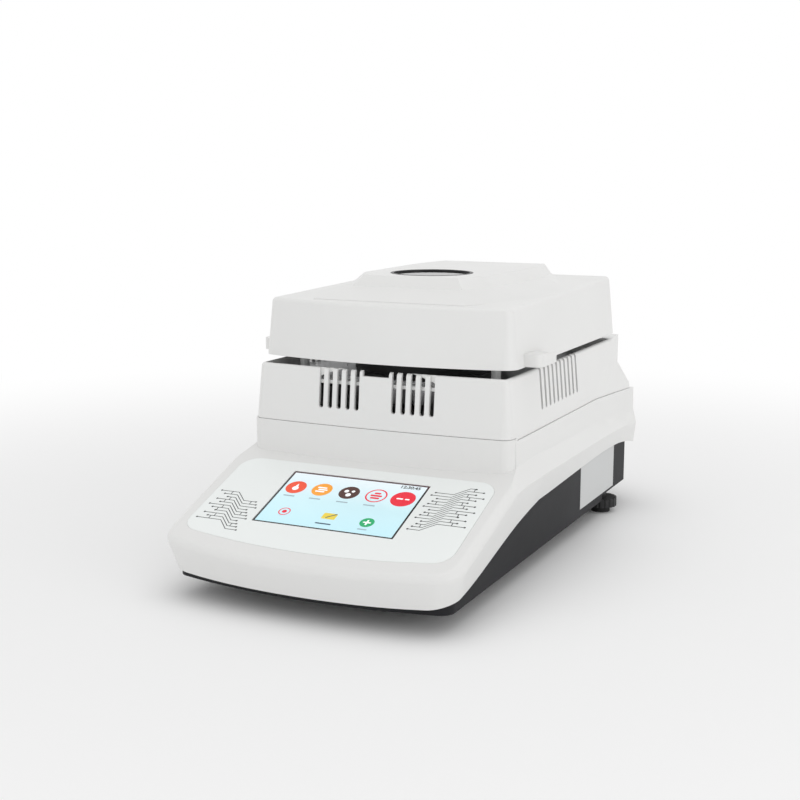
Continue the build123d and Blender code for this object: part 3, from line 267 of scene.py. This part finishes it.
def screen_finish():
    """The lit screen: pale above, light blue below, in a black edge that is dark red at the top."""
    material = bpy.data.materials.new("lit_screen")
    material.use_nodes = True
    nodes, links = material.node_tree.nodes, material.node_tree.links
    shader = nodes["Principled BSDF"]
    across, up = console_place(nodes, links)
    fade = nodes.new("ShaderNodeMapRange")
    fade.inputs["From Min"].default_value = -SCREEN_HALF[1]
    fade.inputs["From Max"].default_value = SCREEN_HALF[1]
    links.new(up, fade.inputs["Value"])
    ramp = nodes.new("ShaderNodeValToRGB")
    ramp.color_ramp.elements[0].color = (0.46, 0.70, 0.77, 1.0)
    ramp.color_ramp.elements[1].color = (0.70, 0.77, 0.81, 1.0)
    middle = ramp.color_ramp.elements.new(0.5)
    middle.color = (0.52, 0.72, 0.77, 1.0)
    links.new(fade.outputs["Result"], ramp.inputs["Fac"])
    edge = None
    for value, half in ((across, SCREEN_HALF[0]), (up, SCREEN_HALF[1])):
        size = nodes.new("ShaderNodeMath")
        size.operation = "ABSOLUTE"
        links.new(value, size.inputs[0])
        over = nodes.new("ShaderNodeMath")
        over.operation = "GREATER_THAN"
        over.inputs[1].default_value = half - SCREEN_BORDER
        links.new(size.outputs[0], over.inputs[0])
        if edge:
            both = nodes.new("ShaderNodeMath")
            both.operation = "MAXIMUM"
            links.new(edge, both.inputs[0])
            links.new(over.outputs[0], both.inputs[1])
            edge = both.outputs[0]
        else:
            edge = over.outputs[0]
    rim = nodes.new("ShaderNodeValToRGB")
    rim.color_ramp.elements[0].position = 0.9
    rim.color_ramp.elements[0].color = (0.006, 0.006, 0.008, 1.0)
    rim.color_ramp.elements[1].position = 0.97
    rim.color_ramp.elements[1].color = (0.050, 0.006, 0.012, 1.0)
    links.new(fade.outputs["Result"], rim.inputs["Fac"])
    framed = nodes.new("ShaderNodeMix")
    framed.data_type = "RGBA"
    links.new(rim.outputs["Color"], framed.inputs["B"])
    links.new(edge, framed.inputs["Factor"])
    links.new(ramp.outputs["Color"], framed.inputs["A"])
    links.new(framed.outputs["Result"], shader.inputs["Base Color"])
    links.new(framed.outputs["Result"], shader.inputs["Emission Color"])
    shader.inputs["Emission Strength"].default_value = SCREEN_GLOW
    shader.inputs["Roughness"].default_value = 0.12
    return material


finishes["screen_glass"] = screen_finish()


def printed(name, color, glow=0.0):
    """A thin printed or lit colour with a slight unevenness."""
    material = finish(name, color, 0.4, grain=2500.0, bump=0.02, cloud=60.0, depth=0.06)
    shader = material.node_tree.nodes["Principled BSDF"]
    shader.inputs["Emission Color"].default_value = (*color, 1.0)
    shader.inputs["Emission Strength"].default_value = glow
    return material


for part in frame["record"]["subparts"]:
    node = frame["nodes"][part["node"]]
    node.data.materials.clear()
    node.data.materials.append(finishes[part["material_slot"]])


def soften(node_name, name, width, angle, body="base"):
    """A copy of a CAD node with softly rounded edges takes the node's place."""
    source = frame["nodes"][node_name]
    material = source.data.materials[0]
    piece = source.copy()
    piece.data = source.data.copy()
    piece.name = name
    bpy.context.scene.collection.objects.link(piece)
    pick(piece)
    if piece.data.has_custom_normals:
        bpy.ops.mesh.customdata_custom_splitnormals_clear()
    bpy.ops.object.mode_set(mode="EDIT")
    bpy.ops.mesh.select_all(action="SELECT")
    bpy.ops.mesh.remove_doubles(threshold=0.000002)
    bpy.ops.mesh.dissolve_limited(angle_limit=math.radians(0.4))
    bpy.ops.object.mode_set(mode="OBJECT")
    bevel = piece.modifiers.new("edges", "BEVEL")
    bevel.limit_method = "ANGLE"
    bevel.angle_limit = math.radians(angle)
    bevel.width = width
    bevel.segments = 3
    bevel.use_clamp_overlap = True
    bpy.ops.object.modifier_apply(modifier="edges")
    bpy.ops.object.shade_smooth_by_angle(angle=math.radians(40))
    weigh = piece.modifiers.new("normals", "WEIGHTED_NORMAL")
    weigh.keep_sharp = True
    bpy.ops.object.modifier_apply(modifier="normals")
    dress(piece, material, body)
    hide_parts(node_name)


soften("top_shell", "top_shell_skin", 0.0008, 28)
soften("chamber_housing", "chamber_housing_skin", 0.0006, 28)
soften("lid_cover", "lid_cover_skin", 0.0012, 22, body="lid")


# Drawing on the console: points are across and up from the screen's centre, in millimetres
def on_console(piece, lift):
    """Lays a piece drawn flat on XY onto the console, at a height above its plane."""
    plane = Matrix.Translation(SCREEN_CENTRE) @ Matrix.Rotation(TILT, 4, "X")
    piece.matrix_world = plane @ Matrix.Translation((0.0, 0.0, lift / 1000)) @ piece.matrix_world
    place(piece)


def spot(x, y):
    """A point of the drawing, from millimetres to metres."""
    return (x / 1000, y / 1000, 0.0)


def around(centre, *offsets):
    """Points at offsets from a button's centre."""
    return [spot(centre[0] + x, centre[1] + y) for x, y in offsets]


def disc(x, y, radius):
    """A flat disc."""
    deselect()
    bpy.ops.mesh.primitive_circle_add(
        vertices=40, radius=radius / 1000, fill_type="NGON", location=spot(x, y)
    )
    place(bpy.context.object)
    return bpy.context.object


def ring(x, y, radius, width):
    """A flat ring."""
    piece = disc(x, y, radius)
    pick(piece)
    bpy.ops.object.mode_set(mode="EDIT")
    bpy.ops.mesh.select_all(action="SELECT")
    bpy.ops.mesh.inset(thickness=width / 1000, depth=0.0)
    bpy.ops.mesh.delete(type="FACE")
    bpy.ops.object.mode_set(mode="OBJECT")
    return piece


def bar(x, y, width, height, turn=0.0, rounding=0.49):
    """A flat bar with rounded ends, about its centre."""
    deselect()
    bpy.ops.mesh.primitive_plane_add(
        size=0.001, location=spot(x, y), rotation=(0.0, 0.0, math.radians(turn))
    )
    bpy.context.object.scale = (width, height, 1.0)
    place(bpy.context.object)
    bpy.ops.object.mode_set(mode="EDIT")
    bpy.ops.mesh.select_all(action="SELECT")
    bpy.ops.mesh.bevel(offset=height * rounding / 1000, segments=4, affect="VERTICES")
    bpy.ops.object.mode_set(mode="OBJECT")
    return bpy.context.object


def peak(x, y, radius):
    """A flat pointed top."""
    deselect()
    bpy.ops.mesh.primitive_circle_add(
        vertices=3, radius=radius / 1000, fill_type="NGON", location=spot(x, y)
    )
    bpy.context.object.scale = (0.8, 1.5, 1.0)
    place(bpy.context.object)
    return bpy.context.object


def show(pieces, name, material, lift):
    """Joins flat pieces of one colour and lays them on the console."""
    drawing = join(pieces, name)
    on_console(drawing, lift)
    dress(drawing, material)


def picture(pieces, name, ink, color, glow=0.0, lift=PICTURE_TOP):
    """Pieces of the screen's picture in one lit colour."""
    show(pieces, name, printed(ink, color, glow), lift)


# The screen's picture: round buttons with plain marks, bars in place of words
ORANGE, AMBER, BROWN, RINGED, RED = (
    (-42.5, 12.6),
    (-22.0, 13.3),
    (-0.6, 13.5),
    (20.3, 13.7),
    (40.7, 13.5),
)
TARGET, NOTE, GREEN = (-35.8, -16.9), (-1.1, -16.0), (28.1, -17.6)
picture([disc(*ORANGE, 7.7)], "icon_orange", "icon_orange", (0.80, 0.07, 0.02), 0.25)
picture([disc(*AMBER, 7.6)], "icon_amber", "icon_amber", (0.86, 0.33, 0.02), 0.25)
picture([disc(*BROWN, 7.6)], "icon_brown", "icon_brown", (0.07, 0.018, 0.012), 0.1)
reds = [ring(*RINGED, 7.9, 1.1), disc(*RED, 8.9), ring(*TARGET, 4.4, 0.8), disc(*TARGET, 1.8)]
for height, width in ((2.9, 5.0), (0, 9.0), (-2.9, 7.0)):
    reds.append(bar(RINGED[0], RINGED[1] + height, width, 1.9))
picture(reds, "icon_red", "icon_red", (0.76, 0.006, 0.03), 0.25)
picture([disc(*GREEN, 5.2)], "icon_green", "icon_green", (0.004, 0.38, 0.13), 0.2)
picture([bar(*NOTE, 10.4, 6.8, rounding=0.12)], "icon_yellow", "icon_yellow", (0.80, 0.62, 0.06), 0.2)

marks = [disc(ORANGE[0], ORANGE[1] - 1.2, 2.4), peak(ORANGE[0], ORANGE[1] + 1.2, 2.4)]
marks += repeat(bar(0, 0, 7.4, 1.5), around(AMBER, (-0.6, 2.4), (0.8, 0.0), (-0.6, -2.4)))
for x, y, radius in ((-2.6, 1.5, 1.7), (2.4, 2.0, 1.3), (0.4, -2.6, 2.0)):
    marks.append(disc(BROWN[0] + x, BROWN[1] + y, radius))
marks += [bar(RED[0] - 2.4, RED[1], 5.0, 1.5), bar(RED[0] + 3.2, RED[1], 3.4, 1.5)]
marks += [bar(*GREEN, 6.0, 1.4), bar(*GREEN, 6.0, 1.4, turn=90)]
picture(marks, "icon_marks", "icon_marks", (0.92, 0.93, 0.93), 0.3, MARK_TOP)

captions = repeat(bar(0, 0, 9.0, 1.3), [spot(x, 1.8) for x, _ in (ORANGE, AMBER, BROWN, RINGED)])
captions.append(bar(GREEN[0], -25.6, 7.0, 1.2))
picture(captions, "caption_bars", "caption_grey", (0.34, 0.44, 0.50), 0.15)
notes = [bar(NOTE[0] - 0.6, -25.0, 12.0, 1.3), bar(NOTE[0] + 1.2, NOTE[1] + 0.6, 8.6, 0.9, turn=38)]
picture(notes, "note_lines", "note_blue", (0.03, 0.07, 0.13), 0.05, MARK_TOP)

bpy.ops.object.text_add(location=(0.0325, 0.0262, 0.0))
digits = bpy.context.object
digits.data.body = "12:30:45"
digits.data.size = 0.0045
digits.data.offset = 0.00012
bpy.ops.object.convert(target="MESH")
picture([bpy.context.object], "clock_digits", "digit_ink", (0.01, 0.01, 0.012), lift=MARK_TOP)

# Console print, in millimetres: rows of parallel traces with pads, left and right of the screen
TRACE_R = 0.3
TRACE_FLATNESS = 0.12
PAD_R = 0.8
ROW_STEP = 3.4
ROW_RISE = 9.0


def traces(side, lowest, rows):
    """One side's rows as a mesh of flat lines, with discs for pads."""
    data = bpy.data.curves.new("traces", "CURVE")
    data.dimensions = "3D"
    data.bevel_depth = TRACE_R / 1000
    data.bevel_resolution = 1
    pads = []

    def line(points):
        spline = data.splines.new("POLY")
        spline.points.add(len(points) - 1)
        for point, (a, b) in zip(spline.points, points):
            point.co = (*spot(side * a, b), 1.0)

    for i in range(rows):
        level = lowest + ROW_STEP * i
        upper = level + ROW_RISE
        start = 58.5 + (i * 5 % 4) * 1.8
        bend = 67.0 + 0.5 * i
        end = 95.5 - (i * 3 % 5) * 2.2
        line([(start, level), (bend, level), (bend + ROW_RISE, upper), (end, upper)])
        pads += [spot(side * start, level), spot(side * end, upper)]
        if i % 3 != 2 and i < rows - 1:
            tie = 86.0 - (i * 2 % 3) * 1.2
            line([(tie, upper), (tie, upper + ROW_STEP)])
        if i % 4 == 1 and i < rows - 1:
            line([(65.5, level), (65.5, level + ROW_STEP)])
    drawing = bpy.data.objects.new("traces", data)
    bpy.context.scene.collection.objects.link(drawing)
    pick(drawing)
    bpy.ops.object.convert(target="MESH")
    drawing = bpy.context.object
    drawing.scale = (1.0, 1.0, TRACE_FLATNESS)
    place(drawing)
    return [drawing] + repeat(disc(0.0, 0.0, PAD_R), pads)


show(
    traces(-1, -45.0, 11) + traces(1, -19.0, 14),
    "console_print",
    printed("console_ink", (0.016, 0.017, 0.020)),
    OVERLAY_TOP,
)


# Level: a dark circle on the vial and a pale bubble in it
def on_level(piece, name, material):
    """Lays a disc or ring, drawn flat about the middle, just over the top of the vial."""
    low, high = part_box("level_vial")
    piece.location = ((low[0] + high[0]) / 2, (low[1] + high[1]) / 2, high[2] + 0.00004)
    place(piece)
    piece.name = name
    dress(piece, material)


on_level(ring(0.0, 0.0, 3.1, 0.35), "level_circle", finishes["black_plastic"])
on_level(disc(0.0, 0.0, 2.1), "level_bubble", printed("bubble_pale", (0.72, 0.86, 0.42)))


# Serial socket, in metres: a dark insert with two rows of pins, seen from behind
def block(low, high, edge):
    """A box between two corners, with rounded edges."""
    deselect()
    bpy.ops.mesh.primitive_cube_add(size=1.0, location=[(a + b) / 2 for a, b in zip(low, high)])
    piece = bpy.context.object
    piece.scale = [b - a for a, b in zip(low, high)]
    place(piece)
    rounding = piece.modifiers.new("edges", "BEVEL")
    rounding.width = edge
    rounding.segments = 2
    bpy.ops.object.modifier_apply(modifier="edges")
    return piece


SOCKET_DEPTH = 0.0054
PIN_STEP = 0.00275
low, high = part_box("serial_port")
across, up, face = (low[0] + high[0]) / 2, (low[2] + high[2]) / 2, high[1] - SOCKET_DEPTH
insert = block((-0.0076, 0.0, -0.0033), (0.0076, 0.0016, 0.0033), 0.0006)
insert.location = (across, face, up)
place(insert)
insert.name = "serial_insert"
dress(insert, finishes["black_plastic"])
seats = []
for count, height in ((5, 0.0013), (4, -0.0013)):
    for i in range(count):
        seats.append((across + (i - (count - 1) / 2) * PIN_STEP, face, up + height))
pins = repeat(block((-0.0005, 0.001, -0.0005), (0.0005, 0.0048, 0.0005), 0.0003), seats)
dress(join(pins, "serial_pins"), finishes["steel"])

# Camera, floor and light
FLOOR_RADIUS = 6.0
SHADOW_REACH = (0.28, 1.0)
SKY_LIGHT = 0.76
bpy.ops.object.camera_add(location=(0.41027, -0.90534, 0.28951))
camera = bpy.context.object
camera.name = "photo_camera"
camera.rotation_euler = (math.radians(79.93), 0.0, math.radians(25.66))
camera.data.sensor_width = 36.0
camera.data.lens = 58.4978
camera.data.clip_start = 0.01
bpy.context.scene.camera = camera

bpy.ops.mesh.primitive_circle_add(vertices=96, radius=FLOOR_RADIUS, fill_type="NGON")
floor = bpy.context.object
floor.name = "floor"
paper = bpy.data.materials.new("pale_floor")
paper.use_nodes = True
nodes, links = paper.node_tree.nodes, paper.node_tree.links
base = nodes["Principled BSDF"]
base.inputs["Base Color"].default_value = (0.94, 0.94, 0.94, 1.0)
base.inputs["Roughness"].default_value = 0.9
glow = nodes.new("ShaderNodeEmission")
glow.inputs["Strength"].default_value = 1.0
where = nodes.new("ShaderNodeTexCoord")
reach = nodes.new("ShaderNodeVectorMath")
reach.operation = "LENGTH"
links.new(where.outputs["Object"], reach.inputs[0])
far = nodes.new("ShaderNodeMapRange")
far.interpolation_type = "SMOOTHSTEP"
far.inputs["From Min"].default_value = SHADOW_REACH[0]
far.inputs["From Max"].default_value = SHADOW_REACH[1]
links.new(reach.outputs["Value"], far.inputs["Value"])
blend = nodes.new("ShaderNodeMixShader")
links.new(far.outputs["Result"], blend.inputs["Fac"])
links.new(base.outputs["BSDF"], blend.inputs[1])
links.new(glow.outputs["Emission"], blend.inputs[2])
links.new(blend.outputs["Shader"], nodes["Material Output"].inputs["Surface"])
floor.data.materials.append(paper)

world = bpy.data.worlds.new("studio")
bpy.context.scene.world = world
world.use_nodes = True
nodes, links = world.node_tree.nodes, world.node_tree.links
sky = nodes["Background"]
sky.inputs["Color"].default_value = (1.0, 1.0, 1.0, 1.0)
rays = nodes.new("ShaderNodeLightPath")
seen = nodes.new("ShaderNodeMath")
seen.operation = "MAXIMUM"
links.new(rays.outputs["Is Camera Ray"], seen.inputs[0])
links.new(rays.outputs["Is Glossy Ray"], seen.inputs[1])
either = nodes.new("ShaderNodeMath")
either.operation = "MAXIMUM"
links.new(seen.outputs[0], either.inputs[0])
links.new(rays.outputs["Is Transmission Ray"], either.inputs[1])
level = nodes.new("ShaderNodeMapRange")
level.inputs["To Min"].default_value = SKY_LIGHT
level.inputs["To Max"].default_value = 1.0
links.new(either.outputs[0], level.inputs["Value"])
links.new(level.outputs["Result"], sky.inputs["Strength"])


def lamp(name, stand, aim, size, power):
    """A soft square lamp that shines at a point."""
    bpy.ops.object.light_add(type="AREA", location=stand)
    light = bpy.context.object
    light.name = name
    light.data.size = size
    light.data.energy = power
    direction = Vector(aim) - Vector(stand)
    light.rotation_euler = direction.to_track_quat("-Z", "Y").to_euler()


lamp("top_lamp", (0.1, 0.1, 1.6), (0.0, 0.0, 0.1), 1.4, 4.0)
lamp("right_lamp", (1.5, -0.5, 0.3), (0.0, 0.0, 0.08), 0.9, 3.6)
lamp("front_lamp", (-0.5, -1.6, 0.25), (0.0, 0.0, 0.08), 1.0, 1.9)

bpy.context.scene.view_settings.view_transform = "Standard"
